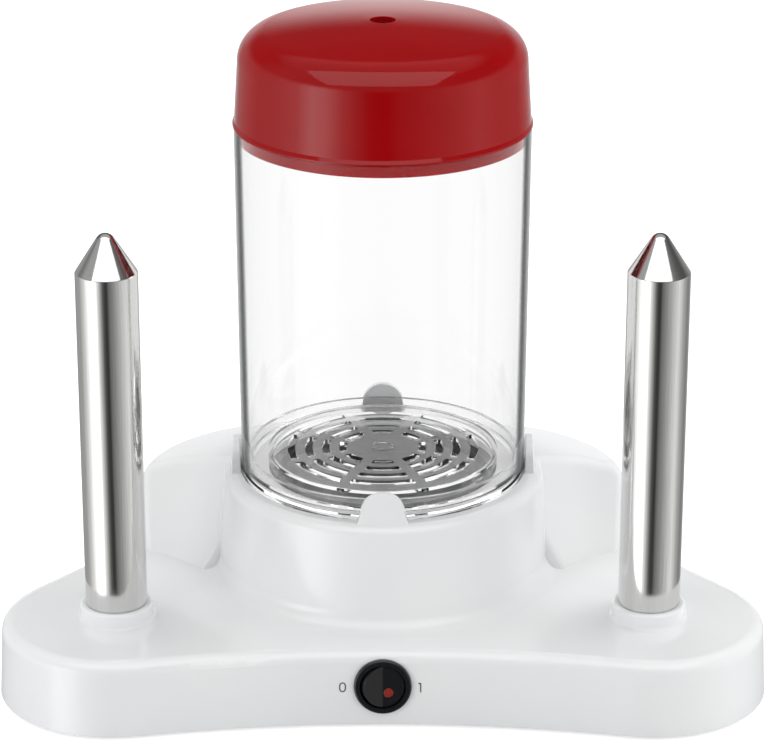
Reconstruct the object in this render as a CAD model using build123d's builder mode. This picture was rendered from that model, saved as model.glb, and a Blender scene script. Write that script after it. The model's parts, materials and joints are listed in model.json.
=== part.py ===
from build123d import *
import math
import os

# A hot dog maker. A white moulded base carries two heated steel spikes for the buns
# and a round drum, where a dark dish boils water into steam. A clear slotted tray
# lies over the dish, a clear jar stands round the tray, and a red lid closes the jar.
# Millimetres, +Z up, front towards -Y. Everything is drawn from the point on the table
# below the jar's axis, and the finished pieces move back by frame_y, so that the origin
# lies under the middle of the whole part.

# Plan of the base: two round arms that carry the spikes, a shallow hollow front
# between them, and a deeper rear body with straight back and round ends.
arm_x = 108.0
arm_y = -55.5
arm_r = 48.2
front_y = -92.0
side_x = 70.0
side_y = 15.0
side_r = 33.6
rear_half = 67.3
rear_y = 24.5
rear_r = 38.2

# Heights of the base
foot_lift = 1.2
platform_top = 32.3
drum_top = 75.5
platform_round = 5.0
draft_angle = 3.0
wall = 2.6

# Drum, with the dish opening and the four tabs round the jar's foot
drum_r = 66.5
drum_batter = 3.0
drum_round = 4.5
drum_flare = 8.0
flare_share = 0.95
opening_r = 47.5
tab_height = 13.0
tab_width = 18.0
tab_foot_width = 23.4
tab_thick = 2.3
tab_foot_thick = 4.0
tab_count = 4

# Rear body: its top falls away from the drum, and each flank is hollowed round the arm
dome_drop = 17.65
dome_crown = 81.4
flank_x = 122.0
flank_y = -45.0
flank_r = 57.0
flank_lean = 25.0
rim_round = 9.0
rear_levels = (45.0, 60.5)
crest_round = 6.0

# Jar and its clearances
lift_gap = 0.2
jar_foot_r = 59.4
jar_bead = 1.5
jar_low_r = 58.8
jar_top_r = 60.0
jar_wall = 1.9
jar_height = 148.5
tab_gap = 0.5

# Tray
tray_gap = 0.4
tray_wall = 1.8
tray_height = 8.0
tray_drop = 3.9
plateau_r = 47.6
slot_radii = (16.7, 23.8, 30.9, 38.2)
slot_width = 3.2
spoke_width = 4.6
spoke_count = 8
button_r = 4.7
button_height = 0.6

# Lid
lid_overhang = 0.4
lid_lip = 0.7
lid_lip_step = 0.7
lid_lip_slope = 1.4
lid_side_draft = 1.5
lid_side_height = 26.0
lid_height = 42.1
lid_corner = 12.5
lid_wall = 2.2
plug_gap = 0.4
plug_depth = 5.2
steam_hole_r = 5.2

# Spikes, their collars on the platform and their sockets under it
spike_r = 12.5
spike_wall = 0.8
spike_shoulder = 180.0
spike_cone = 16.0
spike_neck = 0.3
neck_gap = 0.3
tip_round = 4.2
shoulder_round = 1.2
spike_sink = 12.3
spike_fit = 0.08
collar_r = 14.9
collar_height = 6.3
collar_round = 1.4
socket_r = 15.4
socket_flange_r = 21.5
socket_flange = 2.5
socket_floor = 4.0
rod_r = 5.0
rod_length = 134.0
rod_flange_r = 8.0
rod_flange = 2.0
pin_r = 1.0
pin_length = 5.0
spacer_height = 6.0
spacer_drop = 12.0

# Dish with its gasket, clamp ring, element and thermostat
dish_floor_r = 42.0
dish_wall_r = 46.3
dish_flange_r = 52.5
dish_plate = 2.0
dish_depth = 12.0
gasket = 1.0
clamp_r = 61.0
clamp_plate = 1.5
clamp_gap = 0.5
clamp_pitch_r = 57.0
element_r = 30.0
element_tube_r = 3.3
element_arc = 300.0
element_leg = 9.0
stat_r = 8.5
stat_height = 9.0
strap_length = 44.0
strap_width = 12.0
strap_plate = 1.1
strap_pitch = 36.0
fuse_r = 2.0
fuse_length = 13.0
touch_gap = 0.05

# Round rocker switch in the front wall, rocker pressed on its right side
switch_z = 17.9
bezel_r = 11.5
bezel_thick = 2.0
bezel_round = 0.8
barrel_r = 10.0
barrel_depth = 18.0
barrel_fit = 0.1
seat_depth = 1.0
rocker_r = 8.9
rocker_gap = 0.3
rocker_sink = 1.2
rocker_face = 1.0
rocker_tilt = 20.0
rocker_depth = 6.0
pivot_r = 1.0
pivot_fit = 0.05
pivot_reach = 0.9
lens_x = 2.3
lens_y = -2.6
lens_r = 1.9
lens_proud = 0.25
lens_depth = 2.6
blade_width = 4.8
blade_thick = 0.8
blade_length = 8.0
blade_pitch = 6.0

# Bottom cover, its screws and feet
cover_gap = 0.4
cover_lift = 1.8
cover_plate = 3.0
boss_r = 4.0
boss_small_r = 3.2
socket_boss_height = 5.0
socket_boss_pitch_r = 18.5
socket_boss_count = 3
screw_r = 1.5
screw_fit = 0.06
screw_grip = 9.0
head_r = 2.9
head_height = 1.7
head_fit = 0.3
foot_r = 7.0
peg_r = 2.5
peg_proud = 1.0
foot_places = ((118.0, -84.0), (85.0, 30.0))
screw_places = ((136.0, -70.0), (70.0, -64.0), (60.0, 42.0))
vent_width = 3.0
vent_length = 26.0
vent_pitch = 7.0
vent_count = 7
vent_y = -30.0

# Cord inlet in the rear wall, and the terminal block behind it
gland_z = 15.0
gland_r = 5.0
gland_bore_r = 3.6
gland_flange_r = 7.6
gland_flange = 2.2
gland_length = 9.0
gland_round = 0.7
nut_r = 8.0
nut_thick = 2.5
block_y = 34.0
block_length = 30.0
block_width = 14.0
block_height = 11.0
block_pitch = 22.0
block_hole_pitch = 7.0
block_hole_r = 1.8
block_holes = 3

# One overrun serves every cut
over = 1.0

deck_under = platform_top - wall
drum_under = drum_top - wall
cover_top = cover_lift + cover_plate
lean = math.tan(math.radians(draft_angle))
drum_lean = drum_batter / (drum_top - platform_top)
drum_foot_r = drum_r + drum_batter
dome_r = ((rear_half + rear_r)**2 + dome_drop**2) / (2 * dome_drop)
neck_r = spike_r - spike_neck
drum_base_r = drum_foot_r + (platform_top - foot_lift) * drum_lean
frame_y = (arm_r - arm_y - drum_base_r) / 2
os.makedirs("parts", exist_ok=True)


def save(part, name):
    """Move one finished piece into the part's frame, label it and write it to its file."""
    placed = part.moved(Location((0, frame_y, 0)))
    placed.label = name
    export_step(placed, f"parts/{name}.step")


def mirror_point(point):
    return (-point[0], point[1])


def corner(sketch, x, y):
    """The corner of a sketch that lies at a point of its own plane."""
    return sketch.vertices().sort_by_distance((x, y))[0]


def arm_outline(inset):
    """Points of the arm outline on the right: the front arc bulges inwards and touches
    both arm circles, and the side line touches the arm circle and the side circle."""
    arm, side = arm_r - inset, side_r - inset
    middle = front_y + inset
    reach = arm_y - middle
    front_r = (arm_x**2 + reach**2 - arm**2) / (2 * (arm - reach))
    share = arm / (arm + front_r)
    touch_x = arm_x * (1 - share)
    touch_y = arm_y + (middle - front_r - arm_y) * share
    run_x, run_y = side_x - arm_x, side_y - arm_y
    run = math.hypot(run_x, run_y)
    normal = math.atan2(run_y, run_x) - math.acos((arm - side) / run)
    start = math.atan2(touch_y - arm_y, touch_x - arm_x)
    half = (start + normal) / 2
    quarter = (normal + math.pi / 2) / 2
    return {
        "front": (0, middle),
        "touch": (touch_x, touch_y),
        "arm_mid": (arm_x + arm * math.cos(half), arm_y + arm * math.sin(half)),
        "arm_end": (arm_x + arm * math.cos(normal), arm_y + arm * math.sin(normal)),
        "side_start": (side_x + side * math.cos(normal), side_y + side * math.sin(normal)),
        "side_mid": (side_x + side * math.cos(quarter), side_y + side * math.sin(quarter)),
        "side_end": (side_x, side_y + side),
    }


def arm_sketch(inset, height):
    """Plan of the two arms and the middle, drawn at a height."""
    p = arm_outline(inset)
    with BuildSketch(Plane.XY.offset(height)) as plan:
        with BuildLine():
            ThreePointArc(mirror_point(p["touch"]), p["front"], p["touch"])
            ThreePointArc(p["touch"], p["arm_mid"], p["arm_end"])
            Line(p["arm_end"], p["side_start"])
            ThreePointArc(p["side_start"], p["side_mid"], p["side_end"])
            Line(p["side_end"], mirror_point(p["side_end"]))
            ThreePointArc(mirror_point(p["side_end"]), mirror_point(p["side_mid"]),
                          mirror_point(p["side_start"]))
            Line(mirror_point(p["side_start"]), mirror_point(p["arm_end"]))
            ThreePointArc(mirror_point(p["arm_end"]), mirror_point(p["arm_mid"]),
                          mirror_point(p["touch"]))
        make_face()
    return plan.sketch


def rear_sketch(inset, height):
    """Plan of the rear body: a straight back with round ends."""
    with BuildSketch(Plane.XY.offset(height)) as plan:
        with Locations((0, rear_y)):
            SlotOverall(2 * (rear_half + rear_r - inset), 2 * (rear_r - inset))
    return plan.sketch


def drum_form():
    """The drum as it is seen: a leaning side with a round shoulder, and on the front
    half a flared foot where it meets the platform."""
    with BuildPart(mode=Mode.PRIVATE) as form:
        with BuildSketch(Plane.XZ) as section:
            with BuildLine():
                Polyline((0, foot_lift), (drum_base_r, foot_lift), (drum_r, drum_top), (0, drum_top),
                         close=True)
            make_face()
            fillet(corner(section, drum_r, drum_top), drum_round)
        revolve(axis=Axis.Z)
        with BuildSketch(Plane.XZ) as flare:
            with BuildLine():
                Polyline((drum_r - wall, deck_under), (drum_foot_r + drum_flare, deck_under),
                         (drum_foot_r + drum_flare, platform_top), (drum_foot_r, platform_top),
                         (drum_foot_r - drum_flare * drum_lean, platform_top + drum_flare),
                         (drum_r - wall, platform_top + drum_flare), close=True)
            make_face()
            fillet(corner(flare, drum_foot_r, platform_top), drum_flare * flare_share)
        revolve(axis=Axis.Z, revolution_arc=-180)
    return form.part


def flank_cone(side):
    """Hollow of one flank: a cone round an upright axis beside the arm, wider upwards."""
    slope = math.tan(math.radians(flank_lean))
    low, high = -over, drum_top + drum_round
    axis_x = side * flank_x
    with BuildPart(mode=Mode.PRIVATE) as cone:
        with BuildSketch(Plane.XZ.offset(-flank_y)):
            with BuildLine():
                Polyline(
                    (axis_x, low),
                    (axis_x + flank_r + (low - platform_top) * slope, low),
                    (axis_x + flank_r + (high - platform_top) * slope, high),
                    (axis_x, high), close=True)
            make_face()
        revolve(axis=Axis((axis_x, flank_y, 0), (0, 0, 1)))
    return cone.part


def rim_edges(body):
    """Edges round the top of the rear body, without the circle where its flat top
    meets the sloping part."""
    return [edge for edge in body.edges()
            if edge.center().Z > (platform_top + drum_top) / 2
            and edge.length > wall
            and min((edge @ 0).Z, (edge @ 1).Z) > platform_top
            and not (edge.geom_type == GeomType.CIRCLE
                     and math.hypot(edge.arc_center.X, edge.arc_center.Y) < over)]


def crest_edges(body):
    """The two edges where the flank hollows meet the sloping top."""
    return [edge for edge in body.edges()
            if edge.center().Z > (platform_top + drum_top) / 2
            and edge.length > crest_round + rim_round
            and rear_y - rear_r / 2 < edge.center().Y < rear_y
            and abs(edge.center().X) > opening_r]


def rear_body():
    """The rear body that wraps the drum like shoulders."""
    with BuildPart(mode=Mode.PRIVATE) as body:
        extrude(rear_sketch(0, foot_lift), amount=drum_top - foot_lift, taper=draft_angle)
        with Locations((0, 0, dome_crown - dome_r)):
            Sphere(dome_r, rotation=(90, 0, 0), mode=Mode.INTERSECT)
        fillet(rim_edges(body), rim_round)
        for side in (-1, 1):
            add(flank_cone(side), mode=Mode.SUBTRACT)
        fillet(crest_edges(body), crest_round)
    return body.part


def spike_plane(side):
    """Upright plane through a spike's axis, to draw half sections on."""
    return Plane(origin=(side * arm_x, arm_y, 0), x_dir=(1, 0, 0), z_dir=(0, -1, 0))


def spike_axis(side):
    return Axis((side * arm_x, arm_y, 0), (0, 0, 1))


def ring(inner, outer, low, high, centre=(0, 0)):
    """A plain ring or, with no inner radius, a disc, for use in other pieces."""
    with BuildPart(mode=Mode.PRIVATE) as band:
        with BuildSketch(Plane.XY.offset(low)):
            with Locations(centre):
                Circle(outer)
                if inner:
                    Circle(inner, mode=Mode.SUBTRACT)
        extrude(amount=high - low)
    return band.part


def both_sides(places):
    """Places on the right and their mirror images."""
    return [place for right in places for place in (right, mirror_point(right))]


# Outer form of the housing: arms, drum, rear body, spike collars and tabs
with BuildPart() as arms:
    extrude(arm_sketch(0, foot_lift), amount=platform_top - foot_lift, taper=draft_angle)
    fillet(arms.faces().sort_by(Axis.Z)[-1].edges(), platform_round)

with BuildPart() as collars:
    for side in (-1, 1):
        with BuildSketch(spike_plane(side)) as collar_section:
            with BuildLine():
                Polyline((0, deck_under), (collar_r + 2 * collar_round, deck_under),
                         (collar_r + 2 * collar_round, platform_top), (collar_r, platform_top),
                         (collar_r, platform_top + collar_height),
                         (0, platform_top + collar_height), close=True)
            make_face()
            fillet(corner(collar_section, collar_r, platform_top), collar_round)
            fillet(corner(collar_section, collar_r, platform_top + collar_height), collar_round)
        revolve(axis=spike_axis(side))

tab_inner = jar_foot_r + tab_gap
tab_top = drum_top + tab_height
with BuildPart() as tabs:
    with BuildSketch(Plane.XZ):
        with BuildLine():
            Polyline((tab_inner, drum_top - drum_round), (tab_inner + tab_foot_thick, drum_top - drum_round),
                     (tab_inner + tab_thick, tab_top), (tab_inner, tab_top), close=True)
        make_face()
    revolve(axis=Axis.Z)
    crown_r = tab_width / 2
    with BuildSketch(Plane.XZ):
        with BuildLine():
            Line((-tab_foot_width / 2, drum_top - drum_round), (tab_foot_width / 2, drum_top - drum_round))
            Line((tab_foot_width / 2, drum_top - drum_round), (crown_r, tab_top - crown_r))
            ThreePointArc((crown_r, tab_top - crown_r), (0, tab_top), (-crown_r, tab_top - crown_r))
            Line((-crown_r, tab_top - crown_r), (-tab_foot_width / 2, drum_top - drum_round))
        make_face()
    tab_prisms = extrude(amount=tab_inner + tab_foot_width, both=True, mode=Mode.PRIVATE)
    add([tab_prisms, tab_prisms.rotate(Axis.Z, 360 / tab_count)], mode=Mode.INTERSECT)


# Inside of the housing, open below. Its walls are upright, and the hollow of the rear
# body steps back with the flanks at each level.
arm_inset = wall + (deck_under - foot_lift) * lean
with BuildPart() as arm_hollow:
    extrude(arm_sketch(arm_inset, foot_lift), amount=deck_under - foot_lift)

drum_inner_r = drum_foot_r - wall
with BuildPart() as drum_hollow:
    with BuildSketch(Plane.XY.offset(foot_lift)):
        Circle(drum_inner_r)
    extrude(amount=platform_top - foot_lift)
    with BuildSketch(Plane.XY.offset(foot_lift)):
        Circle(drum_r - wall)
    extrude(amount=drum_under - foot_lift)


def rear_plan(level, gap, height):
    """Plan of the hollow of the rear body at one level, less a gap, drawn at a height."""
    inset = wall + (level - foot_lift) * lean + gap
    reach = flank_r + wall + (level - platform_top) * math.tan(math.radians(flank_lean)) + gap
    with BuildSketch(Plane.XY.offset(height)) as plan:
        add(rear_sketch(inset, height))
        with Locations((flank_x, flank_y), (-flank_x, flank_y)):
            Circle(reach, mode=Mode.SUBTRACT)
    return plan.sketch


# Switch and cord inlet planes, square to the drafted walls and facing outwards
tilt_y = math.cos(math.radians(draft_angle))
tilt_z = math.sin(math.radians(draft_angle))
switch_plane = Plane(origin=(0, front_y + (switch_z - foot_lift) * lean, switch_z),
                     x_dir=(1, 0, 0), z_dir=(0, -tilt_y, tilt_z))
gland_turn = math.atan(drum_lean)
gland_plane = Plane(origin=(0, drum_foot_r + (platform_top - gland_z) * drum_lean - seat_depth, gland_z),
                    x_dir=(-1, 0, 0), z_dir=(0, math.cos(gland_turn), math.sin(gland_turn)))

arm_spots = both_sides(screw_places[:-1])
rear_spots = both_sides(screw_places[-1:])
rear_boss_top = rear_levels[-1] + wall / 2
socket_spots = [
    (side * arm_x + socket_boss_pitch_r * math.cos(2 * math.pi * turn / socket_boss_count),
     arm_y + socket_boss_pitch_r * math.sin(2 * math.pi * turn / socket_boss_count))
    for side in (-1, 1) for turn in range(socket_boss_count)]
socket_boss_low = deck_under - socket_boss_height
clamp_boss_low = drum_under - gasket - dish_plate
clamp_count = 4

# Housing: one white moulding
with BuildPart() as housing:
    add(arms.part)
    add(drum_form())
    add(rear_body())
    add(collars.part)
    add(tabs.part)
    add(drum_hollow.part, mode=Mode.SUBTRACT)
    add(arm_hollow.part, mode=Mode.SUBTRACT)
    for level in rear_levels:
        extrude(rear_plan(level, 0, foot_lift), amount=level - foot_lift, mode=Mode.SUBTRACT)
    # screw bosses for the cover, the spike sockets and the dish clamp
    with BuildSketch(Plane.XY.offset(cover_top)):
        with Locations(*arm_spots):
            Circle(boss_r)
    extrude(amount=deck_under + wall / 2 - cover_top)
    with BuildSketch(Plane.XY.offset(cover_top)):
        with Locations(*rear_spots):
            Circle(boss_r)
    extrude(amount=rear_boss_top - cover_top)
    with BuildSketch(Plane.XY.offset(socket_boss_low)):
        with Locations(*socket_spots):
            Circle(boss_small_r)
    extrude(amount=socket_boss_height + wall / 2)
    with BuildSketch(Plane.XY.offset(clamp_boss_low)):
        with PolarLocations(clamp_pitch_r, clamp_count, start_angle=180 / clamp_count):
            Circle(boss_small_r)
    extrude(amount=drum_under + wall / 2 - clamp_boss_low)
    # pilot holes
    with BuildSketch(Plane.XY.offset(cover_top)):
        with Locations(*arm_spots, *rear_spots):
            Circle(screw_r + screw_fit)
    extrude(amount=screw_grip + over, mode=Mode.SUBTRACT)
    with BuildSketch(Plane.XY.offset(socket_boss_low)):
        with Locations(*socket_spots):
            Circle(screw_r + screw_fit)
    extrude(amount=socket_boss_height, mode=Mode.SUBTRACT)
    with BuildSketch(Plane.XY.offset(clamp_boss_low)):
        with PolarLocations(clamp_pitch_r, clamp_count, start_angle=180 / clamp_count):
            Circle(screw_r + screw_fit)
    extrude(amount=gasket + dish_plate, mode=Mode.SUBTRACT)
    # openings for the dish and the spikes
    with BuildSketch(Plane.XY.offset(drum_under - over)):
        Circle(opening_r)
    extrude(amount=wall + 2 * over, mode=Mode.SUBTRACT)
    with BuildSketch(Plane.XY.offset(deck_under - over)):
        with Locations((arm_x, arm_y), (-arm_x, arm_y)):
            Circle(neck_r + spike_fit)
    extrude(amount=wall + collar_height + 2 * over, mode=Mode.SUBTRACT)
    # flat seat and hole for the switch, hole for the cord inlet
    with BuildSketch(switch_plane):
        Circle(bezel_r + barrel_fit)
    extrude(amount=seat_depth, mode=Mode.SUBTRACT)
    with BuildSketch(switch_plane.offset(seat_depth)):
        Circle(barrel_r + barrel_fit)
    extrude(amount=-(seat_depth + barrel_depth), mode=Mode.SUBTRACT)
    with BuildSketch(gland_plane):
        Circle(gland_flange_r + barrel_fit)
    extrude(amount=seat_depth + over, mode=Mode.SUBTRACT)
    with BuildSketch(gland_plane.offset(over)):
        Circle(gland_r + barrel_fit)
    extrude(amount=-(gland_length + over), mode=Mode.SUBTRACT)
save(housing.part, "base_housing")

# Bottom cover with vents, screwed to the housing
with BuildPart() as cover:
    extrude(arm_sketch(arm_inset + cover_gap, cover_lift), amount=cover_plate)
    for level in rear_levels:
        extrude(rear_plan(level, cover_gap, cover_lift), amount=cover_plate)
    with BuildSketch(Plane.XY.offset(cover_lift)):
        Circle(drum_inner_r - cover_gap)
    extrude(amount=cover_plate)
    with BuildSketch(Plane.XY.offset(cover_lift)):
        with Locations(*arm_spots, *rear_spots):
            Circle(head_r + head_fit)
    extrude(amount=head_height, mode=Mode.SUBTRACT)
    with BuildSketch(Plane.XY.offset(cover_lift)):
        with Locations(*arm_spots, *rear_spots):
            Circle(screw_r + screw_fit)
        with Locations(*both_sides(foot_places)):
            Circle(peg_r + screw_fit)
        with Locations((0, vent_y)):
            with GridLocations(vent_pitch, 0, vent_count, 1):
                SlotOverall(vent_length, vent_width, rotation=90)
    extrude(amount=cover_plate, mode=Mode.SUBTRACT)
    with BuildSketch(Plane.XY.offset(cover_top)):
        with Locations((0, block_y)):
            with GridLocations(block_pitch, 0, 2, 1):
                Circle(screw_r + screw_fit)
    extrude(amount=-(cover_plate - seat_depth), mode=Mode.SUBTRACT)
save(cover.part, "base_cover")

with BuildPart() as cover_screws:
    with BuildSketch(Plane.XY.offset(cover_lift)):
        with Locations(*arm_spots, *rear_spots):
            Circle(head_r)
    extrude(amount=head_height)
    with BuildSketch(Plane.XY.offset(cover_lift)):
        with Locations(*arm_spots, *rear_spots):
            Circle(screw_r)
    extrude(amount=cover_plate + screw_grip)
save(cover_screws.part, "cover_screws")

with BuildPart() as feet:
    with BuildSketch(Plane.XY):
        with Locations(*both_sides(foot_places)):
            Circle(foot_r)
    extrude(amount=cover_lift)
    with BuildSketch(Plane.XY):
        with Locations(*both_sides(foot_places)):
            Circle(peg_r)
    extrude(amount=cover_top + peg_proud)
save(feet.part, "rubber_feet")

# Dish: a dark coated pan hung under the drum's opening
flange_top = drum_under - gasket
floor_top = drum_top - dish_depth
floor_under = floor_top - dish_plate
with BuildPart() as dish:
    with BuildSketch(Plane.XZ):
        with BuildLine():
            Polyline((0, floor_under), (dish_floor_r, floor_under),
                     (dish_wall_r, floor_under + dish_wall_r - dish_floor_r),
                     (dish_wall_r, flange_top - dish_plate), (dish_flange_r, flange_top - dish_plate),
                     (dish_flange_r, flange_top), (dish_wall_r - dish_plate, flange_top),
                     (dish_wall_r - dish_plate, floor_top + dish_wall_r - dish_floor_r),
                     (dish_floor_r - dish_plate, floor_top), (0, floor_top), close=True)
        make_face()
    revolve(axis=Axis.Z)
save(dish.part, "steam_dish")

save(ring(opening_r + gasket, dish_flange_r, flange_top, drum_under), "dish_gasket")

clamp_top = flange_top - dish_plate
clamp_low = clamp_top - clamp_plate
with BuildPart() as clamp:
    with BuildSketch(Plane.XY.offset(clamp_low)):
        Circle(clamp_r)
        Circle(dish_wall_r + clamp_gap, mode=Mode.SUBTRACT)
        with PolarLocations(clamp_pitch_r, clamp_count, start_angle=180 / clamp_count):
            Circle(screw_r + screw_fit, mode=Mode.SUBTRACT)
    extrude(amount=clamp_plate)
save(clamp.part, "dish_clamp")

with BuildPart() as clamp_screws:
    with BuildSketch(Plane.XY.offset(clamp_low - head_height)):
        with PolarLocations(clamp_pitch_r, clamp_count, start_angle=180 / clamp_count):
            Circle(head_r)
    extrude(amount=head_height)
    with BuildSketch(Plane.XY.offset(clamp_low)):
        with PolarLocations(clamp_pitch_r, clamp_count, start_angle=180 / clamp_count):
            Circle(screw_r)
    extrude(amount=clamp_plate + gasket + dish_plate - over)
save(clamp_screws.part, "clamp_screws")

# Heating element: a tube bent round under the dish, with its two ends turned down
element_z = floor_under - touch_gap - element_tube_r
open_half = math.radians(360 - element_arc) / 2
with BuildPart() as element:
    with BuildSketch(Plane.XZ):
        with Locations((element_r, element_z)):
            Circle(element_tube_r)
    revolve(axis=Axis.Z, revolution_arc=element_arc)
    element_ends = [(element_r, 0),
                    (element_r * math.cos(2 * open_half), -element_r * math.sin(2 * open_half))]
    with BuildSketch(Plane.XY.offset(element_z)):
        with Locations(*element_ends):
            Circle(element_tube_r)
    extrude(amount=-element_leg)
    with Locations(*[(x, y, element_z) for x, y in element_ends]):
        Sphere(element_tube_r)
    with BuildSketch(Plane.XY.offset(element_z - element_leg)):
        with Locations(*element_ends):
            Circle(pin_r)
    extrude(amount=-pin_length)
save(element.part, "dish_element")

# Thermostat and thermal fuse, held against the dish by a strap and two screws
strap_top = floor_under - touch_gap - stat_height
strap_low = strap_top - strap_plate
with BuildPart() as thermostat:
    with BuildSketch(Plane.XY.offset(strap_top)):
        Circle(stat_r)
    extrude(amount=stat_height)
save(thermostat.part, "thermostat")

with BuildPart() as strap:
    with BuildSketch(Plane.XY.offset(strap_low)):
        Rectangle(strap_length, strap_width)
        with GridLocations(strap_pitch, 0, 2, 1):
            Circle(screw_r + screw_fit, mode=Mode.SUBTRACT)
    extrude(amount=strap_plate)
save(strap.part, "thermostat_strap")

with BuildPart() as strap_screws:
    with BuildSketch(Plane.XY.offset(strap_low - head_height)):
        with GridLocations(strap_pitch, 0, 2, 1):
            Circle(head_r)
    extrude(amount=head_height)
    with BuildSketch(Plane.XY.offset(strap_low)):
        with GridLocations(strap_pitch, 0, 2, 1):
            Circle(screw_r)
    extrude(amount=strap_plate + stat_height)
save(strap_screws.part, "strap_screws")

with BuildPart() as fuse:
    fuse_x = (stat_r + strap_pitch / 2 - screw_r) / 2
    with BuildSketch(Plane.XZ.offset(-fuse_length / 2)):
        with Locations((fuse_x, strap_top + fuse_r + touch_gap)):
            Circle(fuse_r)
    extrude(amount=fuse_length)
save(fuse.part, "thermal_fuse")

# Spikes: closed steel tubes with a coned, rounded tip, each on a socket under the platform
spike_base = platform_top - spike_sink
spike_tip = spike_shoulder + spike_cone
neck_top = platform_top + collar_height + neck_gap
cone_turn = math.atan2(spike_r - tip_round, spike_tip - tip_round - spike_shoulder)
touch_r = tip_round * math.cos(cone_turn)
touch_z = spike_tip - tip_round + tip_round * math.sin(cone_turn)
tip_mid_r = tip_round * math.cos((cone_turn + math.pi / 2) / 2)
tip_mid_z = spike_tip - tip_round + tip_round * math.sin((cone_turn + math.pi / 2) / 2)
rod_low = spike_base - socket_floor - rod_flange
for side, hand in ((-1, "left"), (1, "right")):
    with BuildPart() as spike:
        with BuildSketch(spike_plane(side)) as spike_section:
            with BuildLine():
                Polyline((0, spike_base), (neck_r, spike_base), (neck_r, neck_top), (spike_r, neck_top),
                         (spike_r, spike_shoulder), (touch_r, touch_z))
                ThreePointArc((touch_r, touch_z), (tip_mid_r, tip_mid_z), (0, spike_tip))
                Line((0, spike_tip), (0, spike_base))
            make_face()
            fillet(corner(spike_section, spike_r, spike_shoulder), shoulder_round)
        revolve(axis=spike_axis(side))
        bore = ring(0, neck_r - spike_wall, spike_base - over, spike_shoulder - spike_wall,
                    (side * arm_x, arm_y))
        add(bore, mode=Mode.SUBTRACT)
    save(spike.part, f"spike_{hand}")

    with BuildPart() as socket:
        with BuildSketch(Plane.XY.offset(spike_base - socket_floor)):
            with Locations((side * arm_x, arm_y)):
                Circle(socket_r)
        extrude(amount=socket_boss_low - spike_base + socket_floor)
        with BuildSketch(Plane.XY.offset(socket_boss_low - socket_flange)):
            with Locations((side * arm_x, arm_y)):
                Circle(socket_flange_r)
        extrude(amount=socket_flange)
        with BuildSketch(Plane.XY.offset(spike_base)):
            with Locations((side * arm_x, arm_y)):
                Circle(neck_r + spike_fit)
        extrude(amount=socket_floor + socket_flange, mode=Mode.SUBTRACT)
        with BuildSketch(Plane.XY.offset(spike_base - socket_floor)):
            with Locations((side * arm_x, arm_y)):
                Circle(rod_r + spike_fit)
            with Locations(*[spot for spot in socket_spots if spot[0] * side > 0]):
                Circle(screw_r + screw_fit)
        extrude(amount=socket_boss_low - spike_base + socket_floor, mode=Mode.SUBTRACT)
    save(socket.part, f"spike_socket_{hand}")

    with BuildPart() as rod:
        add(ring(0, rod_flange_r, rod_low, rod_low + rod_flange, (side * arm_x, arm_y)))
        add(ring(0, rod_r, rod_low, rod_low + rod_length, (side * arm_x, arm_y)))
        with BuildSketch(Plane.XY.offset(rod_low)):
            with Locations((side * arm_x, arm_y)):
                with GridLocations(rod_r, 0, 2, 1):
                    Circle(pin_r)
        extrude(amount=-pin_length)
    save(rod.part, f"spike_heater_{hand}")

    spacer_top = rod_low + rod_length - spacer_drop
    save(ring(rod_r + spike_fit, neck_r - spike_wall - spike_fit, spacer_top - spacer_height,
              spacer_top, (side * arm_x, arm_y)), f"spike_spacer_{hand}")

with BuildPart() as socket_screws:
    with BuildSketch(Plane.XY.offset(socket_boss_low - socket_flange - head_height)):
        with Locations(*socket_spots):
            Circle(head_r)
    extrude(amount=head_height)
    with BuildSketch(Plane.XY.offset(socket_boss_low - socket_flange)):
        with Locations(*socket_spots):
            Circle(screw_r)
    extrude(amount=socket_flange + socket_boss_height - over)
save(socket_screws.part, "socket_screws")

# Round rocker switch. The rocker is a ball cut flat, so it turns freely in its well.
pivot_plane = switch_plane.offset(-rocker_sink)
pivot_point = pivot_plane.origin
well_r = rocker_r + rocker_gap
well_floor = rocker_sink + rocker_r + rocker_gap
pin_line = Plane(origin=pivot_point, x_dir=(1, 0, 0), z_dir=switch_plane.y_dir)
with BuildPart() as switch_body:
    with BuildSketch(switch_plane):
        Circle(bezel_r)
    extrude(amount=bezel_thick)
    fillet(switch_body.edges().group_by(Axis((0, 0, 0), switch_plane.z_dir))[-1], bezel_round)
    with BuildSketch(switch_plane):
        Circle(barrel_r)
    extrude(amount=-barrel_depth)
    with BuildSketch(switch_plane.offset(bezel_thick)):
        Circle(well_r)
    extrude(amount=-(bezel_thick + well_floor), mode=Mode.SUBTRACT)
    with BuildSketch(pin_line):
        Circle(pivot_r + pivot_fit)
    extrude(amount=rocker_r + pivot_reach + pivot_fit, both=True, mode=Mode.SUBTRACT)
save(switch_body.part, "switch_body")

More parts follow.
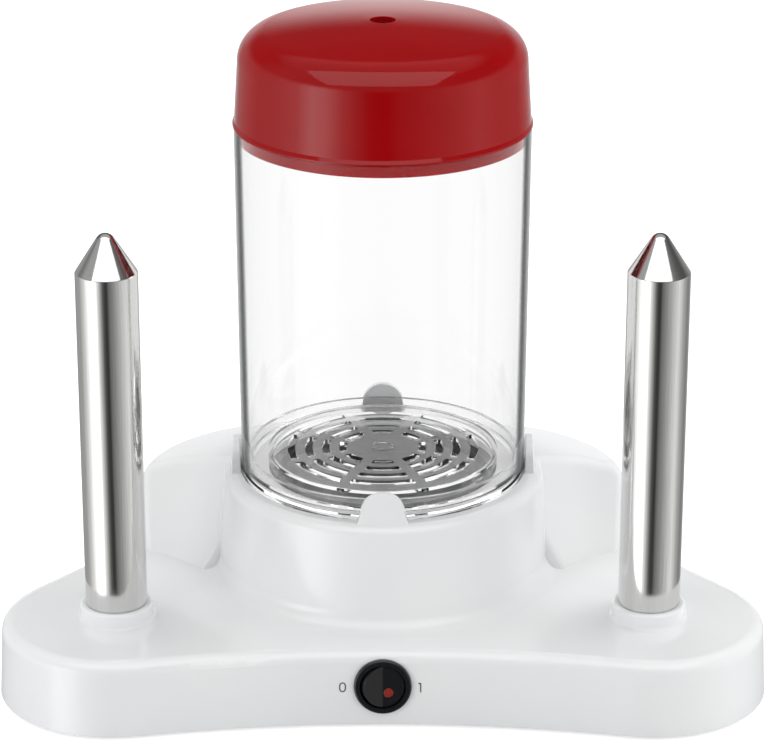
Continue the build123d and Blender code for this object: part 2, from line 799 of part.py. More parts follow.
raised = math.tan(math.radians(rocker_tilt))
side_view = Plane(origin=switch_plane.origin, x_dir=(1, 0, 0), z_dir=-switch_plane.y_dir)
lens_plane = Plane(origin=switch_plane.from_local_coords(Vector(lens_x, lens_y, rocker_face)),
                   x_dir=(1, 0, 0), z_dir=switch_plane.z_dir)
ball = Sphere(rocker_r, mode=Mode.PRIVATE).moved(Location(pivot_plane))
with BuildPart() as rocker:
    add(ball)
    with BuildSketch(side_view):
        with BuildLine():
            Polyline((0, rocker_face), (2 * rocker_r, rocker_face), (2 * rocker_r, 2 * rocker_r),
                     (-2 * rocker_r, 2 * rocker_r), (-2 * rocker_r, rocker_face + 2 * rocker_r * raised),
                     close=True)
        make_face()
    extrude(amount=2 * rocker_r, both=True, mode=Mode.SUBTRACT)
    with BuildSketch(pivot_plane.offset(-rocker_depth)):
        Circle(2 * rocker_r)
    extrude(amount=-rocker_r, mode=Mode.SUBTRACT)
    with BuildSketch(pin_line):
        Circle(pivot_r)
    extrude(amount=rocker_r + pivot_reach, both=True)
    with BuildSketch(lens_plane):
        Circle(lens_r + pivot_fit)
    extrude(amount=-lens_depth, mode=Mode.SUBTRACT)
save(rocker.part, "switch_rocker")

with BuildPart() as lens:
    with BuildSketch(lens_plane.offset(-lens_depth)):
        Circle(lens_r)
    extrude(amount=lens_depth + lens_proud)
    fillet(lens.edges().group_by(Axis((0, 0, 0), switch_plane.z_dir))[-1], lens_proud / 2)
save(lens.part, "switch_lens")

with BuildPart() as blades:
    with BuildSketch(switch_plane.offset(-barrel_depth)):
        with GridLocations(blade_pitch, 0, 3, 1):
            Rectangle(blade_thick, blade_width)
    extrude(amount=-blade_length)
save(blades.part, "switch_terminals")

# Cord inlet: a bush through the rear wall with a nut inside
with BuildPart() as gland:
    with BuildSketch(gland_plane):
        Circle(gland_flange_r)
    extrude(amount=gland_flange)
    fillet(gland.edges().group_by(Axis((0, 0, 0), gland_plane.z_dir))[-1], gland_round)
    with BuildSketch(gland_plane):
        Circle(gland_r)
    extrude(amount=-gland_length)
    with BuildSketch(gland_plane.offset(gland_flange)):
        Circle(gland_bore_r)
    extrude(amount=-(gland_flange + gland_length), mode=Mode.SUBTRACT)
save(gland.part, "cord_inlet")

# the wall behind the nut is round, so the nut's corners meet it first
nut_wall = gland_plane.origin.Y - math.sqrt(drum_inner_r**2 - nut_r**2)
nut_start = nut_wall + nut_r * drum_lean + touch_gap
with BuildPart() as gland_nut:
    with BuildSketch(gland_plane.offset(-nut_start)):
        RegularPolygon(nut_r, 6)
        Circle(gland_r + barrel_fit, mode=Mode.SUBTRACT)
    extrude(amount=-nut_thick)
save(gland_nut.part, "cord_inlet_nut")

# Terminal block on the cover, and its two screws
with BuildPart() as block:
    with BuildSketch(Plane.XY.offset(cover_top)):
        with Locations((0, block_y)):
            Rectangle(block_length, block_width)
            with GridLocations(block_pitch, 0, 2, 1):
                Circle(screw_r + screw_fit, mode=Mode.SUBTRACT)
    extrude(amount=block_height)
    with BuildSketch(Plane.XZ.offset(-block_y)):
        with Locations((0, cover_top + block_height / 2)):
            with GridLocations(block_hole_pitch, 0, block_holes, 1):
                Circle(block_hole_r)
    extrude(amount=block_width, both=True, mode=Mode.SUBTRACT)
save(block.part, "terminal_block")

with BuildPart() as block_screws:
    with BuildSketch(Plane.XY.offset(cover_top + block_height)):
        with Locations((0, block_y)):
            with GridLocations(block_pitch, 0, 2, 1):
                Circle(head_r)
    extrude(amount=head_height)
    with BuildSketch(Plane.XY.offset(cover_top + block_height)):
        with Locations((0, block_y)):
            with GridLocations(block_pitch, 0, 2, 1):
                Circle(screw_r)
    extrude(amount=-(block_height + seat_depth))
save(block_screws.part, "block_screws")

# Clear tray: an outer rim that stands on the drum, a channel, and a slotted plateau
jar_base = drum_top + lift_gap
jar_rim = jar_base + jar_height
jar_foot_inner = jar_low_r - jar_wall
tray_r = jar_foot_inner - tray_gap
tray_top = jar_base + tray_height
channel_top = tray_top - tray_drop
with BuildPart() as tray:
    with BuildSketch(Plane.XZ):
        with BuildLine():
            Polyline((0, tray_top - tray_wall), (plateau_r - tray_wall, tray_top - tray_wall),
                     (plateau_r - tray_wall, channel_top - tray_wall),
                     (tray_r - tray_wall, channel_top - tray_wall),
                     (tray_r - tray_wall, jar_base), (tray_r, jar_base), (tray_r, tray_top),
                     (tray_r - tray_wall, tray_top), (tray_r - tray_wall, channel_top),
                     (plateau_r, channel_top), (plateau_r, tray_top), (0, tray_top), close=True)
        make_face()
    revolve(axis=Axis.Z)
    with BuildSketch(Plane.XY.offset(tray_top)):
        for radius in sorted(slot_radii, reverse=True):
            Circle(radius + slot_width / 2)
            Circle(radius - slot_width / 2, mode=Mode.SUBTRACT)
        with PolarLocations(0, spoke_count // 2, start_angle=180 / spoke_count, angular_range=180):
            Rectangle(4 * plateau_r, spoke_width, mode=Mode.SUBTRACT)
    extrude(amount=-tray_wall, mode=Mode.SUBTRACT)
    with BuildSketch(Plane.XY.offset(tray_top)):
        Circle(button_r)
        Circle(button_r - button_height, mode=Mode.SUBTRACT)
    extrude(amount=button_height)
save(tray.part, "steam_tray")

# Clear jar, open at both ends, with a bead round its foot
with BuildPart() as jar:
    with BuildSketch(Plane.XZ):
        with BuildLine():
            Polyline((jar_foot_inner, jar_base), (jar_foot_r, jar_base), (jar_foot_r, jar_base + jar_bead),
                     (jar_low_r, jar_base + 2 * jar_bead), (jar_top_r, jar_rim),
                     (jar_top_r - jar_wall, jar_rim), (jar_foot_inner, jar_base + 2 * jar_bead), close=True)
        make_face()
    revolve(axis=Axis.Z)
save(jar.part, "jar")

# Red lid: a shallow domed cap whose plug ring drops into the jar
lid_base = jar_rim + lift_gap
lid_side_z = lid_base + lid_side_height
lid_top = lid_base + lid_height
plug_r = jar_top_r - jar_wall - plug_gap
lid_lip_r = jar_top_r + lid_overhang
lid_side_r = lid_lip_r - lid_lip_step - lid_side_draft
corner_x = lid_side_r - lid_corner
corner_rise = lid_side_z - lid_top
dome_ring = (lid_corner**2 - corner_x**2 - corner_rise**2) / (2 * (corner_rise + lid_corner))


def lid_arc(offset):
    """Points of the corner and the dome at a depth under the lid's surface."""
    turn = math.asin(corner_x / (dome_ring - lid_corner))
    corner, dome = lid_corner - offset, dome_ring - offset
    low = lid_top - dome_ring
    half = (math.pi / 2 - turn) / 2
    inner = math.asin(steam_hole_r / dome)
    mid = (turn + inner) / 2
    return {
        "side": (corner_x + corner, lid_side_z),
        "corner_mid": (corner_x + corner * math.cos(half), lid_side_z + corner * math.sin(half)),
        "join": (dome * math.sin(turn), low + dome * math.cos(turn)),
        "dome_mid": (dome * math.sin(mid), low + dome * math.cos(mid)),
        "hole": (steam_hole_r, low + dome * math.cos(inner)),
    }


outside, inside = lid_arc(0), lid_arc(lid_wall)
with BuildPart() as lid:
    with BuildSketch(Plane.XZ):
        with BuildLine():
            Polyline((lid_side_r - lid_wall, lid_base - plug_depth), (plug_r, lid_base - plug_depth),
                     (plug_r, lid_base), (lid_lip_r, lid_base), (lid_lip_r, lid_base + lid_lip),
                     (lid_lip_r - lid_lip_step, lid_base + lid_lip + lid_lip_slope), outside["side"])
            ThreePointArc(outside["side"], outside["corner_mid"], outside["join"])
            ThreePointArc(outside["join"], outside["dome_mid"], outside["hole"])
            Line(outside["hole"], inside["hole"])
            ThreePointArc(inside["hole"], inside["dome_mid"], inside["join"])
            ThreePointArc(inside["join"], inside["corner_mid"], inside["side"])
            Line(inside["side"], (lid_side_r - lid_wall, lid_base - plug_depth))
        make_face()
    revolve(axis=Axis.Z)
save(lid.part, "lid")
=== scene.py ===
import json
import math

import bpy
import numpy as np
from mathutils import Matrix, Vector


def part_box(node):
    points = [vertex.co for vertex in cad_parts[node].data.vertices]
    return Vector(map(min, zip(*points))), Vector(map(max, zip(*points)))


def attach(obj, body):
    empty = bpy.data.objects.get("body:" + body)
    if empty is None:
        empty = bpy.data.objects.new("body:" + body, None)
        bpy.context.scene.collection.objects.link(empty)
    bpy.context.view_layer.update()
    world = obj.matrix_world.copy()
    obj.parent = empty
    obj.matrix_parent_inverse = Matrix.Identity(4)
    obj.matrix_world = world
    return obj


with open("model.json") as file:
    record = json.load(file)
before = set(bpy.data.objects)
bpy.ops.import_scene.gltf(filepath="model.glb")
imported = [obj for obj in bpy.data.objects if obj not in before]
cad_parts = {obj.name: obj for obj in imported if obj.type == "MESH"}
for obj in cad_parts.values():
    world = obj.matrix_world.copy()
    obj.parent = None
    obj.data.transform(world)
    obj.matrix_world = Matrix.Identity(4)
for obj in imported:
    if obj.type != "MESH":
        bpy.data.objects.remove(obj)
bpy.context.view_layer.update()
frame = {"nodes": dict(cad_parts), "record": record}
nodes = frame["nodes"]
MM = 0.001

# Everything made here is placed from the jar's upright axis, whose y is in metres
jar_low, jar_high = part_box("jar")
axis_y = (jar_low.y + jar_high.y) / 2


def shade(hex_colour):
    """Turns an sRGB hex colour into linear red, green, blue and full alpha."""
    parts = np.array([int(hex_colour[i:i + 2], 16) for i in (1, 3, 5)]) / 255
    linear = np.where(parts <= 0.04045, parts / 12.92, ((parts + 0.055) / 1.055) ** 2.4)
    return (*linear.tolist(), 1.0)


white = shade("#ffffff")


def add_node(tree, kind, inputs=None, stops=None, **settings):
    """Adds one node. Settings are its properties, inputs are values or links, and
    stops are the (place, colour) pairs of a colour ramp."""
    made = tree.nodes.new(kind)
    for name, value in settings.items():
        setattr(made, name, value)
    for name, value in (inputs or {}).items():
        if isinstance(value, bpy.types.NodeSocket):
            tree.links.new(value, made.inputs[name])
        else:
            made.inputs[name].default_value = value
    if stops:
        row = made.color_ramp.elements
        for element, (place, colour) in zip((row[0], row[1]), (stops[0], stops[-1])):
            element.position, element.color = place, colour
        for place, colour in stops[1:-1]:
            row.new(place).color = colour
    return made


def new_material(name):
    """An empty node material with its output, and the tree to fill."""
    material = bpy.data.materials.new(name)
    material.use_nodes = True
    tree = material.node_tree
    tree.nodes.clear()
    return material, tree, add_node(tree, "ShaderNodeOutputMaterial")


def housing_abs():
    """Injection moulded ABS off a polished tool: white with a cool cast, a clean gloss
    and a very slight orange peel. Flow in the mould shades it by a touch, too little to
    see as a pattern."""
    flow_size, peel_size, peel_depth = 45 * MM, 2.2 * MM, 0.01 * MM
    material, tree, out = new_material("white_gloss_abs")
    where = add_node(tree, "ShaderNodeTexCoord").outputs["Object"]
    flow = add_node(tree, "ShaderNodeTexNoise", {
        "Vector": where, "Scale": 1 / flow_size, "Detail": 1.0})
    peel = add_node(tree, "ShaderNodeTexNoise", {
        "Vector": where, "Scale": 1 / peel_size, "Detail": 1.0}).outputs["Fac"]
    colour = add_node(tree, "ShaderNodeValToRGB", {"Fac": flow.outputs["Fac"]},
                      stops=[(0.3, shade("#e9eaec")), (0.7, shade("#eceded"))])
    rough = add_node(tree, "ShaderNodeMapRange", {"Value": peel, "To Min": 0.17, "To Max": 0.22})
    relief = add_node(tree, "ShaderNodeBump", {
        "Height": peel, "Strength": 0.15, "Distance": peel_depth})
    shader = add_node(tree, "ShaderNodeBsdfPrincipled", {
        "Base Color": colour.outputs["Color"], "Roughness": rough.outputs["Result"], "IOR": 1.5,
        "Coat Weight": 0.2, "Coat Roughness": 0.06, "Normal": relief.outputs["Normal"]})
    tree.links.new(shader.outputs["BSDF"], out.inputs["Surface"])
    return material


def moulded(name, dark, light, rough, grain_mm, depth_mm):
    """Moulded plastic or rubber with a spark-eroded grain: two near shades, and a grain
    that breaks the gloss."""
    material, tree, out = new_material(name)
    where = add_node(tree, "ShaderNodeTexCoord").outputs["Object"]
    spots = add_node(tree, "ShaderNodeTexNoise", {
        "Vector": where, "Scale": 1 / (grain_mm * MM), "Detail": 3.0}).outputs["Fac"]
    colour = add_node(tree, "ShaderNodeValToRGB", {"Fac": spots},
                      stops=[(0.35, shade(dark)), (0.65, shade(light))])
    gloss = add_node(tree, "ShaderNodeMapRange", {
        "Value": spots, "To Min": rough - 0.04, "To Max": rough + 0.04})
    relief = add_node(tree, "ShaderNodeBump", {
        "Height": spots, "Strength": 0.4, "Distance": depth_mm * MM})
    shader = add_node(tree, "ShaderNodeBsdfPrincipled", {
        "Base Color": colour.outputs["Color"], "Roughness": gloss.outputs["Result"], "IOR": 1.5,
        "Normal": relief.outputs["Normal"]})
    tree.links.new(shader.outputs["BSDF"], out.inputs["Surface"])
    return material


def bare_metal(name, dark, light, rough, grain_mm):
    """Plated, rolled or pressed metal: an even metal with a fine uneven gloss."""
    relief_depth = 0.01 * MM
    material, tree, out = new_material(name)
    where = add_node(tree, "ShaderNodeTexCoord").outputs["Object"]
    spots = add_node(tree, "ShaderNodeTexNoise", {
        "Vector": where, "Scale": 1 / (grain_mm * MM), "Detail": 3.0}).outputs["Fac"]
    colour = add_node(tree, "ShaderNodeValToRGB", {"Fac": spots},
                      stops=[(0.3, shade(dark)), (0.7, shade(light))])
    gloss = add_node(tree, "ShaderNodeMapRange", {
        "Value": spots, "To Min": rough - 0.05, "To Max": rough + 0.08})
    relief = add_node(tree, "ShaderNodeBump", {
        "Height": spots, "Strength": 0.2, "Distance": relief_depth})
    shader = add_node(tree, "ShaderNodeBsdfPrincipled", {
        "Base Color": colour.outputs["Color"], "Metallic": 1.0,
        "Roughness": gloss.outputs["Result"], "Normal": relief.outputs["Normal"]})
    tree.links.new(shader.outputs["BSDF"], out.inputs["Surface"])
    return material


def clear_san(name, painted_edge_shade):
    """Clear injection moulded styrene-acrylonitrile: no colour face on, and a painted grey
    line where the eye looks along the wall, a painted shade in the base colour that stands
    in for the dark edge of a clear wall. The stops passed in give that painted line, from
    face on (0) to along the wall (1), for faces that look away from the jar's axis. Lamps shine
    through."""
    ripple_size, ripple_depth, lamp_light_held = 9 * MM, 0.004 * MM, 0.15
    material, tree, out = new_material(name)
    where = add_node(tree, "ShaderNodeTexCoord").outputs["Object"]
    ripple = add_node(tree, "ShaderNodeTexNoise", {
        "Vector": where, "Scale": 1 / ripple_size, "Detail": 1.0})
    relief = add_node(tree, "ShaderNodeBump", {
        "Height": ripple.outputs["Fac"], "Strength": 0.1, "Distance": ripple_depth})
    # Painted shade: the base colour turns grey where the eye grazes a wall that faces away from
    # the axis
    grazing = add_node(tree, "ShaderNodeLayerWeight", {"Blend": 0.5})
    line = add_node(tree, "ShaderNodeValToRGB", {"Fac": grazing.outputs["Facing"]},
                    stops=[(place, shade(tone)) for place, tone in painted_edge_shade])
    from_axis = add_node(tree, "ShaderNodeVectorMath", {
        0: where, 1: (0.0, axis_y, 0.0)}, operation="SUBTRACT")
    outwards = add_node(tree, "ShaderNodeVectorMath", {
        0: from_axis.outputs[0], 1: (1.0, 1.0, 0.0)}, operation="MULTIPLY")
    normal = add_node(tree, "ShaderNodeNewGeometry").outputs["Normal"]
    along = add_node(tree, "ShaderNodeVectorMath", {
        0: normal, 1: outwards.outputs[0]}, operation="DOT_PRODUCT")
    outer = add_node(tree, "ShaderNodeMath", {
        0: along.outputs["Value"], 1: 0.0}, operation="GREATER_THAN")
    colour = add_node(tree, "ShaderNodeMixRGB", {
        "Fac": outer.outputs[0], "Color1": white, "Color2": line.outputs["Color"]})
    path = add_node(tree, "ShaderNodeLightPath")
    held = add_node(tree, "ShaderNodeMapRange", {
        "Value": path.outputs["Is Shadow Ray"], "To Min": 1.0, "To Max": lamp_light_held})
    shader = add_node(tree, "ShaderNodeBsdfPrincipled", {
        "Base Color": colour.outputs["Color"], "Roughness": 0.015, "IOR": 1.49,
        "Transmission Weight": 1.0, "Specular Tint": shade("#909090"),
        "Alpha": held.outputs["Result"], "Normal": relief.outputs["Normal"]})
    inside = add_node(tree, "ShaderNodeVolumeAbsorption", {
        "Color": shade("#b4b8ba"), "Density": 8.0})
    tree.links.new(shader.outputs["BSDF"], out.inputs["Surface"])
    tree.links.new(inside.outputs["Volume"], out.inputs["Volume"])
    return material


def lid_abs():
    """Deep red ABS off a polished tool: a strong clean gloss over an even dark red, with
    a faint orange peel."""
    flow_size, peel_size, peel_depth = 30 * MM, 3 * MM, 0.008 * MM
    material, tree, out = new_material("red_gloss_abs")
    where = add_node(tree, "ShaderNodeTexCoord").outputs["Object"]
    flow = add_node(tree, "ShaderNodeTexNoise", {
        "Vector": where, "Scale": 1 / flow_size, "Detail": 1.0})
    peel = add_node(tree, "ShaderNodeTexNoise", {
        "Vector": where, "Scale": 1 / peel_size, "Detail": 1.0})
    colour = add_node(tree, "ShaderNodeValToRGB", {"Fac": flow.outputs["Fac"]},
                      stops=[(0.3, shade("#950307")), (0.7, shade("#9a0509"))])
    relief = add_node(tree, "ShaderNodeBump", {
        "Height": peel.outputs["Fac"], "Strength": 0.1, "Distance": peel_depth})
    shader = add_node(tree, "ShaderNodeBsdfPrincipled", {
        "Base Color": colour.outputs["Color"], "Roughness": 0.06, "IOR": 1.48,
        "Specular IOR Level": 0.32, "Normal": relief.outputs["Normal"]})
    tree.links.new(shader.outputs["BSDF"], out.inputs["Surface"])
    return material


def drawn_tube():
    """Drawn and polished stainless tube: bright, with fine lines along it. They are 60
    times as long as their spacing, and wider apart than real ones, so that they show."""
    line_spacing, line_stretch, line_depth = 0.35 * MM, 60, 0.006 * MM
    material, tree, out = new_material("polished_stainless_tube")
    where = add_node(tree, "ShaderNodeTexCoord").outputs["Object"]
    long_way = add_node(tree, "ShaderNodeMapping", {
        "Vector": where, "Scale": (1.0, 1.0, 1 / line_stretch)})
    lines = add_node(tree, "ShaderNodeTexNoise", {
        "Vector": long_way.outputs["Vector"], "Scale": 1 / line_spacing,
        "Detail": 2.0}).outputs["Fac"]
    colour = add_node(tree, "ShaderNodeValToRGB", {"Fac": lines},
                      stops=[(0.3, shade("#d2d2d0")), (0.7, shade("#dededc"))])
    gloss = add_node(tree, "ShaderNodeMapRange", {"Value": lines, "To Min": 0.08, "To Max": 0.13})
    relief = add_node(tree, "ShaderNodeBump", {
        "Height": lines, "Strength": 0.08, "Distance": line_depth})
    shader = add_node(tree, "ShaderNodeBsdfPrincipled", {
        "Base Color": colour.outputs["Color"], "Metallic": 1.0,
        "Roughness": gloss.outputs["Result"], "Normal": relief.outputs["Normal"]})
    tree.links.new(shader.outputs["BSDF"], out.inputs["Surface"])
    return material


def dish_coating():
    """Non-stick coating on a pressed aluminium dish: near black with fine pale specks."""
    speck_size, speck_height = 0.8 * MM, 0.02 * MM
    material, tree, out = new_material("speckled_nonstick_coating")
    where = add_node(tree, "ShaderNodeTexCoord").outputs["Object"]
    specks = add_node(tree, "ShaderNodeTexNoise", {
        "Vector": where, "Scale": 1 / speck_size, "Detail": 4.0}).outputs["Fac"]
    colour = add_node(tree, "ShaderNodeValToRGB", {"Fac": specks},
                      stops=[(0.5, shade("#17181a")), (0.72, shade("#303133"))])
    gloss = add_node(tree, "ShaderNodeMapRange", {"Value": specks, "To Min": 0.3, "To Max": 0.42})
    relief = add_node(tree, "ShaderNodeBump", {
        "Height": specks, "Strength": 0.3, "Distance": speck_height})
    shader = add_node(tree, "ShaderNodeBsdfPrincipled", {
        "Base Color": colour.outputs["Color"], "Roughness": gloss.outputs["Result"], "IOR": 1.4,
        "Normal": relief.outputs["Normal"]})
    tree.links.new(shader.outputs["BSDF"], out.inputs["Surface"])
    return material


def lens_acrylic():
    """Red acrylic over an unlit lamp: dark red with a bright gloss, clouded a little."""
    cloud_size = 1.5 * MM
    material, tree, out = new_material("red_acrylic_lens")
    where = add_node(tree, "ShaderNodeTexCoord").outputs["Object"]
    cloud = add_node(tree, "ShaderNodeTexNoise", {
        "Vector": where, "Scale": 1 / cloud_size, "Detail": 1.0})
    colour = add_node(tree, "ShaderNodeValToRGB", {"Fac": cloud.outputs["Fac"]},
                      stops=[(0.3, shade("#7d2420")), (0.7, shade("#95312a"))])
    shader = add_node(tree, "ShaderNodeBsdfPrincipled", {
        "Base Color": colour.outputs["Color"], "Roughness": 0.1, "IOR": 1.49,
        "Coat Weight": 0.4, "Coat Roughness": 0.03})
    tree.links.new(shader.outputs["BSDF"], out.inputs["Surface"])
    return material


# Finish of each material slot. Moulded: dark and light shade, roughness, grain and its
# depth in millimetres. Bare metal: dark and light shade, roughness, grain.
finishes = {
    "white_plastic": housing_abs(),
    "grey_plastic": moulded("grey_polypropylene", "#6e7072", "#7a7c7e", 0.5, 0.6, 0.03),
    "screw_steel": bare_metal("zinc_plated_steel", "#9c9fa2", "#b4b7ba", 0.32, 1.5),
    "foot_rubber": moulded("black_foot_rubber", "#1a1a1a", "#252525", 0.75, 0.5, 0.04),
    "coated_dish": dish_coating(),
    "silicone": moulded("pale_silicone", "#c9c8c2", "#d5d4ce", 0.6, 0.8, 0.02),
    "zinc_plate": bare_metal("galvanised_sheet", "#a3a7aa", "#bcc0c2", 0.38, 4.0),
    "element_steel": bare_metal("heat_tinted_sheath", "#5e5850", "#77706a", 0.42, 3.0),
    "ceramic_body": moulded("thermostat_steatite", "#d2cdc2", "#dedad0", 0.7, 0.7, 0.03),
    "fuse_case": bare_metal("fuse_case_aluminium", "#b5b5b2", "#c6c6c3", 0.35, 1.0),
    "spike_steel": drawn_tube(),
    "socket_resin": moulded("phenolic_socket", "#1d1c1b", "#2a2827", 0.5, 0.6, 0.02),
    "switch_black": moulded("black_switch_nylon", "#131416", "#1a1b1d", 0.24, 0.5, 0.006),
    "red_lens": lens_acrylic(),
    "terminal_brass": bare_metal("tinned_brass", "#b8b4a4", "#ccc8b8", 0.3, 1.0),
    "inlet_black": moulded("black_inlet_nylon", "#17181a", "#202123", 0.45, 0.5, 0.02),
    "block_resin": moulded("natural_nylon_block", "#d5d3c6", "#e0ded2", 0.45, 0.8, 0.02),
    # The tray's clear plastic carries the same painted grey edge line, a painted shade in its
    # colour
    "clear_plastic": clear_san("clear_san_tray", [
        (0.0, "#ffffff"), (0.78, "#ffffff"), (0.9, "#9b9ea0"), (0.98, "#3c4044")]),
    "red_plastic": lid_abs(),
}
for part in frame["record"]["subparts"]:
    for place_held in nodes[part["node"]].material_slots:
        place_held.material = finishes[part["material_slot"]]

# The jar's painted grey edge line, a painted shade in its base colour, is darkest where
# the eye grazes the inner face of its 2 mm wall, about 2 mm in from the edge that the eye sees
nodes["jar"].material_slots[0].material = clear_san("clear_san_jar", [
    (0.0, "#ffffff"), (0.672, "#ffffff"), (0.695, "#a8a8a8"), (0.715, "#606162"),
    (0.735, "#303132"), (0.75, "#0c0d0e"), (0.78, "#141516"), (0.815, "#303133"),
    (0.857, "#606264"), (0.917, "#b4b6b8")])

# The middle of the base's front wall, in millimetres from the jar's axis and the table
wall_foot_y, wall_foot_z, wall_arc_r = -92.0, 1.2, 455.97
wall_draft = math.radians(3)


def front_wall(x, z):
    """Points on the middle of the front wall, in metres. In plan the wall is an arc that
    bulges inwards. Its radius grows with height by the height times the tangent of the
    draft angle, so the wall leans back."""
    arc_r = wall_arc_r + (z - wall_foot_z) * math.tan(wall_draft)
    y = wall_foot_y - wall_arc_r + np.sqrt(arc_r ** 2 - x ** 2)
    return np.stack([x * MM, y * MM + axis_y, z * MM], -1)


def printed_mark(name, path, width, closed):
    """A printed stroke: a flat band along a path on the front wall, whose top stands
    0.06 mm and whose underside 0.01 mm off the wall. The band's edges lie half its width
    to each side of the path, square to it."""
    top, underside = 0.06 * MM, 0.01 * MM
    path = np.asarray(path, float)
    if closed:
        step = np.roll(path, -1, 0) - np.roll(path, 1, 0)
    else:
        step = np.gradient(path, axis=0)
    step /= np.linalg.norm(step, axis=1, keepdims=True)
    side = np.stack([-step[:, 1], step[:, 0]], -1) * width / 2
    left, right = path + side, path - side
    edges = [front_wall(p[:, 0], p[:, 1]) for p in (left, right, right, left)]
    outward = np.array([0, -math.cos(wall_draft), math.sin(wall_draft)])
    rings = np.stack([edge + outward * lift
                      for edge, lift in zip(edges, (top, top, underside, underside))], 1)
    count = len(path)
    a, b = np.meshgrid(np.arange(count if closed else count - 1), np.arange(4), indexing="ij")
    ahead, up = (a + 1) % count, (b + 1) % 4
    faces = np.stack([a * 4 + b, a * 4 + up, ahead * 4 + up, ahead * 4 + b], -1)
    faces = faces.reshape(-1, 4).tolist()
    if not closed:
        faces += [[3, 2, 1, 0], [(count - 1) * 4 + k for k in range(4)]]
    mesh = bpy.data.meshes.new(name)
    mesh.from_pydata(rings.reshape(-1, 3).tolist(), [], faces)
    mesh.materials.append(ink)
    made = bpy.data.objects.new(name, mesh)
    bpy.context.scene.collection.objects.link(made)
    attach(made, "base")


def squared_oval(middle, half_size, points=48):
    """A closed path round a middle. Across and up it follows the cosine and the sine of
    the turn, each raised to the power 0.8, which squares the oval a little."""
    squareness = 0.8
    turn = np.linspace(0, 2 * math.pi, points, endpoint=False)
    waves = np.stack([np.cos(turn), np.sin(turn)], -1)
    return np.array(middle) + np.array(half_size) * np.sign(waves) * np.abs(waves) ** squareness


# The marks beside the switch, in millimetres across from the axis and up from the table
ink = moulded("grey_printing_ink", "#48494c", "#525356", 0.5, 0.3, 0.002)
stroke = 0.55
printed_mark("mark_off", squared_oval((-16.0, 17.4), (1.15, 1.85)), stroke, True)
printed_mark("mark_on", [
    (14.2, 18.9), (14.65, 19.05), (15.1, 19.05), (15.1, 18.6), (15.1, 17.6), (15.1, 16.6),
    (15.1, 15.2)], stroke, False)


def studio_floor():
    """A pale floor that darkens only where the object shades it. Gloss looks through it
    to the room, whose soft boxes stand lower than the table."""
    half = 6.0
    mesh = bpy.data.meshes.new("studio_floor")
    mesh.from_pydata([(-half, -half, 0), (half, -half, 0), (half, half, 0), (-half, half, 0)],
                     [], [(0, 1, 2, 3)])
    floor = bpy.data.objects.new("studio_floor", mesh)
    bpy.context.scene.collection.objects.link(floor)
    material, tree, out = new_material("white_paper_floor")
    path = add_node(tree, "ShaderNodeLightPath")
    seen = add_node(tree, "ShaderNodeMath", {
        0: path.outputs["Is Camera Ray"], 1: path.outputs["Is Transmission Ray"]},
        operation="MAXIMUM")
    paper = add_node(tree, "ShaderNodeBsdfDiffuse", {"Color": shade("#dedede")})
    glow = add_node(tree, "ShaderNodeEmission", {"Color": white, "Strength": 0.6})
    glowing = add_node(tree, "ShaderNodeAddShader", {0: paper.outputs[0], 1: glow.outputs[0]})
    pale = add_node(tree, "ShaderNodeMixShader", {
        0: seen.outputs[0], 1: paper.outputs[0], 2: glowing.outputs[0]})
    through = add_node(tree, "ShaderNodeBsdfTransparent", {"Color": white})
    ground = add_node(tree, "ShaderNodeMixShader", {
        0: path.outputs["Is Glossy Ray"], 1: pale.outputs[0], 2: through.outputs[0]})
    tree.links.new(ground.outputs[0], out.inputs["Surface"])
    mesh.materials.append(material)


# What gloss sees round the table and above it: the share of a turn, from -Y (0) through
# -X (0.25), +Y (0.5) and +X (0.75) to -Y (1), and the level there
low_levels = [
    (0.0, 0.015), (0.012, 0.02), (0.03, 0.04), (0.056, 0.15), (0.085, 0.32), (0.125, 0.85),
    (0.155, 1.0), (0.193, 0.45), (0.247, 0.26), (0.311, 0.14), (0.42, 0.11), (0.5, 0.28),
    (0.583, 0.12), (0.644, 0.08), (0.72, 0.16), (0.783, 0.3), (0.833, 0.23), (0.88, 0.16),
    (0.926, 0.1), (0.968, 0.06), (0.988, 0.015), (1.0, 0.015)]
upper_levels = [
    (0.0, 0.3), (0.1, 0.45), (0.25, 0.45), (0.34, 0.12), (0.5, 0.07), (0.66, 0.08),
    (0.76, 0.12), (0.88, 0.3), (1.0, 0.35)]


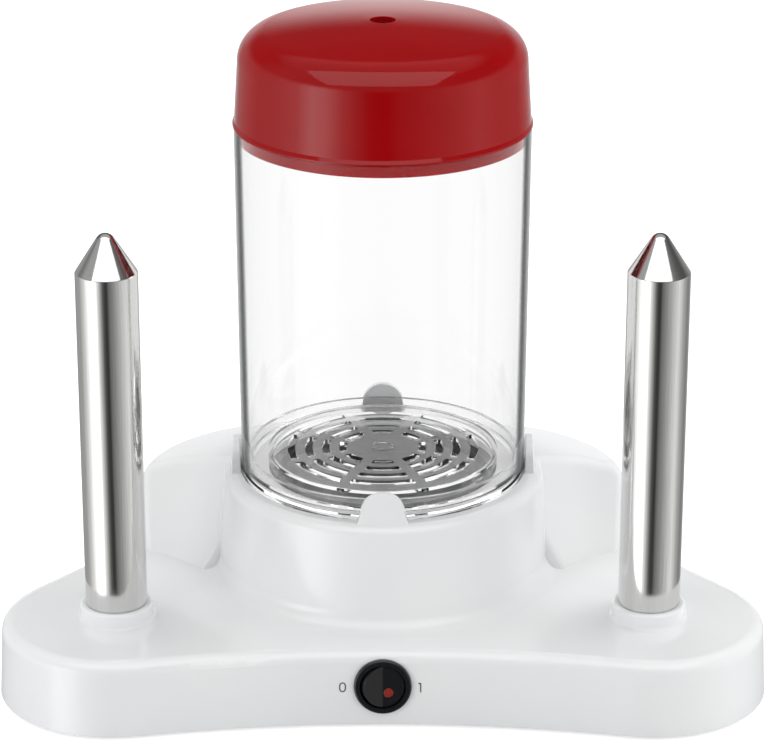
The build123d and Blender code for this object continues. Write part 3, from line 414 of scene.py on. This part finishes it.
def studio_world():
    """White for what the camera and clear pieces see, a plain level for soft light, and
    for gloss a dim room with tall soft boxes round the table. The room's parts fade into
    one another between two heights each, where level is 0 and straight up is 1."""
    low_strength, upper_strength, zenith_strength, soft_strength = 3.3, 1.0, 0.5, 0.7
    fade_to_upper, fade_to_zenith = (0.1, 0.34), (0.6, 0.8)
    world = bpy.data.worlds.new("studio")
    world.use_nodes = True
    bpy.context.scene.world = world
    tree = world.node_tree
    tree.nodes.clear()
    out = add_node(tree, "ShaderNodeOutputWorld")
    path = add_node(tree, "ShaderNodeLightPath")
    seen = add_node(tree, "ShaderNodeMath", {
        0: path.outputs["Is Camera Ray"], 1: path.outputs["Is Transmission Ray"]},
        operation="MAXIMUM")
    way = add_node(tree, "ShaderNodeTexCoord").outputs["Generated"]
    parts = add_node(tree, "ShaderNodeSeparateXYZ", {"Vector": way})
    angle = add_node(tree, "ShaderNodeMath", {
        0: parts.outputs["X"], 1: parts.outputs["Y"]}, operation="ARCTAN2")
    share = add_node(tree, "ShaderNodeMapRange", {
        "Value": angle.outputs[0], "From Min": -math.pi, "From Max": math.pi})
    low, upper = (
        add_node(tree, "ShaderNodeValToRGB", {"Fac": share.outputs["Result"]},
                 stops=[(place, (level, level, level, 1.0)) for place, level in levels])
        for levels in (low_levels, upper_levels))
    to_upper, to_zenith = (
        add_node(tree, "ShaderNodeMapRange", {
            "Value": parts.outputs["Z"], "From Min": start, "From Max": end},
            interpolation_type="SMOOTHSTEP")
        for start, end in (fade_to_upper, fade_to_zenith))
    low_room = add_node(tree, "ShaderNodeBackground", {
        "Color": low.outputs["Color"], "Strength": low_strength})
    upper_room = add_node(tree, "ShaderNodeBackground", {
        "Color": upper.outputs["Color"], "Strength": upper_strength})
    zenith, soft, plain_white = (
        add_node(tree, "ShaderNodeBackground", {"Color": white, "Strength": strength})
        for strength in (zenith_strength, soft_strength, 1.0))
    sides = add_node(tree, "ShaderNodeMixShader", {
        0: to_upper.outputs["Result"], 1: low_room.outputs[0], 2: upper_room.outputs[0]})
    mirrored = add_node(tree, "ShaderNodeMixShader", {
        0: to_zenith.outputs["Result"], 1: sides.outputs[0], 2: zenith.outputs[0]})
    unseen = add_node(tree, "ShaderNodeMixShader", {
        0: path.outputs["Is Glossy Ray"], 1: soft.outputs[0], 2: mirrored.outputs[0]})
    studio = add_node(tree, "ShaderNodeMixShader", {
        0: seen.outputs[0], 1: unseen.outputs[0], 2: plain_white.outputs[0]})
    tree.links.new(studio.outputs[0], out.inputs["Surface"])


def soft_box(name, place, width, height, power, gloss_only=False):
    """A rectangular lamp that faces the middle of the object. It lights without being
    mirrored, or is only mirrored."""
    middle = Vector((0, axis_y, 0.12))
    data = bpy.data.lights.new(name, "AREA")
    data.shape, data.size, data.size_y, data.energy = "RECTANGLE", width, height, power
    lamp = bpy.data.objects.new(name, data)
    lamp.location = place
    lamp.rotation_euler = (middle - Vector(place)).to_track_quat("-Z", "Y").to_euler()
    lamp.visible_glossy, lamp.visible_diffuse = gloss_only, not gloss_only
    bpy.context.scene.collection.objects.link(lamp)


def photo_camera():
    """The camera looks down 21.1 degrees at a point 117 mm up the jar's axis, from
    1.36 m. Its focal length is 3300 pixels of a picture 767 pixels wide."""
    down, reach = math.radians(21.1), 1.3631
    aim_x, aim_z = 0.0003, 0.11685
    data = bpy.data.cameras.new("photo_camera")
    data.sensor_width = 36.0
    data.lens = data.sensor_width * 3300 / 767
    data.clip_start, data.clip_end = 0.05, 50.0
    camera = bpy.data.objects.new("photo_camera", data)
    camera.location = (
        aim_x, axis_y - reach * math.cos(down), aim_z + reach * math.sin(down))
    camera.rotation_euler = (math.pi / 2 - down, 0, 0)
    bpy.context.scene.collection.objects.link(camera)
    bpy.context.scene.camera = camera


studio_floor()
studio_world()
# Name, place, width and height in metres, and watts
for lamp in (
    ("left_box", (-1.1, -1.0, 0.42), 0.7, 0.8, 4.4),
    ("right_box", (1.1, -1.0, 0.42), 0.7, 0.8, 2.4),
    ("side_left_box", (-1.2, 0.1, 0.7), 0.8, 0.8, 1.8),
    ("side_right_box", (1.2, 0.1, 0.7), 0.8, 0.8, 5.5),
    ("back_left_box", (-0.9, 0.7, 1.2), 0.8, 0.8, 3.2),
    ("back_right_box", (0.9, 0.7, 1.2), 0.8, 0.8, 3.0),
    ("back_top_box", (0, 1.0, 1.2), 1.4, 0.7, 4.6),
):
    soft_box(*lamp)
soft_box("gloss_box", (-0.03, -0.72, 1.38), 2.5, 1.35, 15.0, gloss_only=True)
photo_camera()
bpy.context.scene.view_settings.view_transform = "Standard"
